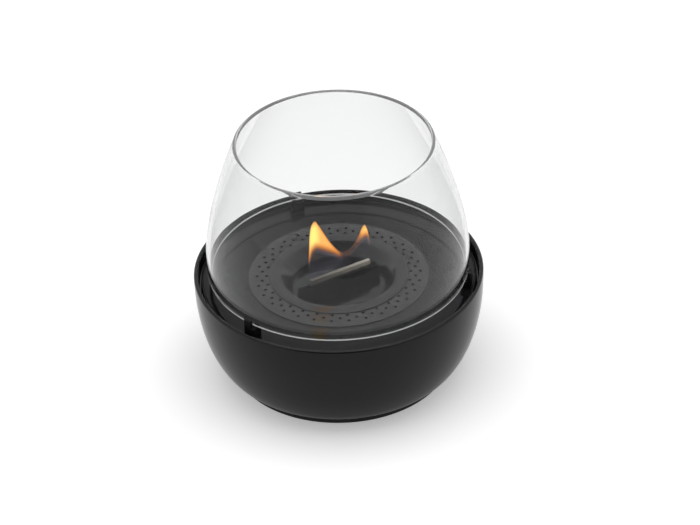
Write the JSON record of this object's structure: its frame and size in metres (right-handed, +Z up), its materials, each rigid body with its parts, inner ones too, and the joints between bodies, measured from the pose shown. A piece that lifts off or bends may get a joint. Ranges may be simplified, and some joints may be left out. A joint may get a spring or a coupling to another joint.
{
  "type": "bioethanol fireplace",
  "caption": "Tabletop bioethanol fire: round glazed bowl, steel deck, perforated air ring, burner cup with strip wick, and an open glass shade standing in clips.",
  "frame": {"origin": "middle of the foot ring's underside, on the table", "axes": "+Z up; the picture looks along +Y, with +X to its right"},
  "size_m": [0.23, 0.23, 0.2066],
  "materials": {
    "black_glaze": "gloss",
    "black_rubber": "matte",
    "black_steel": "satin",
    "clip_black": "matte",
    "clear_glass": "polished",
    "wick_fibre": "matte",
    "zinc_steel": "satin"
  },
  "bodies": {
    "base": {"bowl": "black_glaze", "foot_ring": "black_rubber", "deck_gasket": "black_rubber"},
    "deck": {"deck_plate": "black_steel", "glass_clip_1": "clip_black", "glass_clip_2": "clip_black", "glass_clip_3": "clip_black", "clip_pad_1": "black_rubber", "clip_pad_2": "black_rubber", "clip_pad_3": "black_rubber", "clip_screw_1": "zinc_steel", "clip_screw_2": "zinc_steel", "clip_screw_3": "zinc_steel"},
    "shade": {"glass_shade": "clear_glass"},
    "vent": {"air_ring": "black_steel"},
    "burner": {"fuel_cup": "black_steel"},
    "wick_unit": {"wick": "wick_fibre", "wick_holder": "black_steel"}
  },
  "joints": [
    {"name": "deck_lift", "type": "slide", "parent": "base", "child": "deck", "axis": [0, 0, 1], "range_m": [0, 0.2]},
    {"name": "glass_lift", "type": "slide", "parent": "deck", "child": "shade", "axis": [0, 0, 1], "range_m": [0, 0.2]},
    {"name": "air_ring_lift", "type": "slide", "parent": "deck", "child": "vent", "axis": [0, 0, 1], "range_m": [0, 0.2]},
    {"name": "burner_lift", "type": "slide", "parent": "vent", "child": "burner", "axis": [0, 0, 1], "range_m": [0, 0.2]},
    {"name": "wick_lift", "type": "slide", "parent": "burner", "child": "wick_unit", "axis": [0, 0, 1], "range_m": [0, 0.1]}
  ]
}
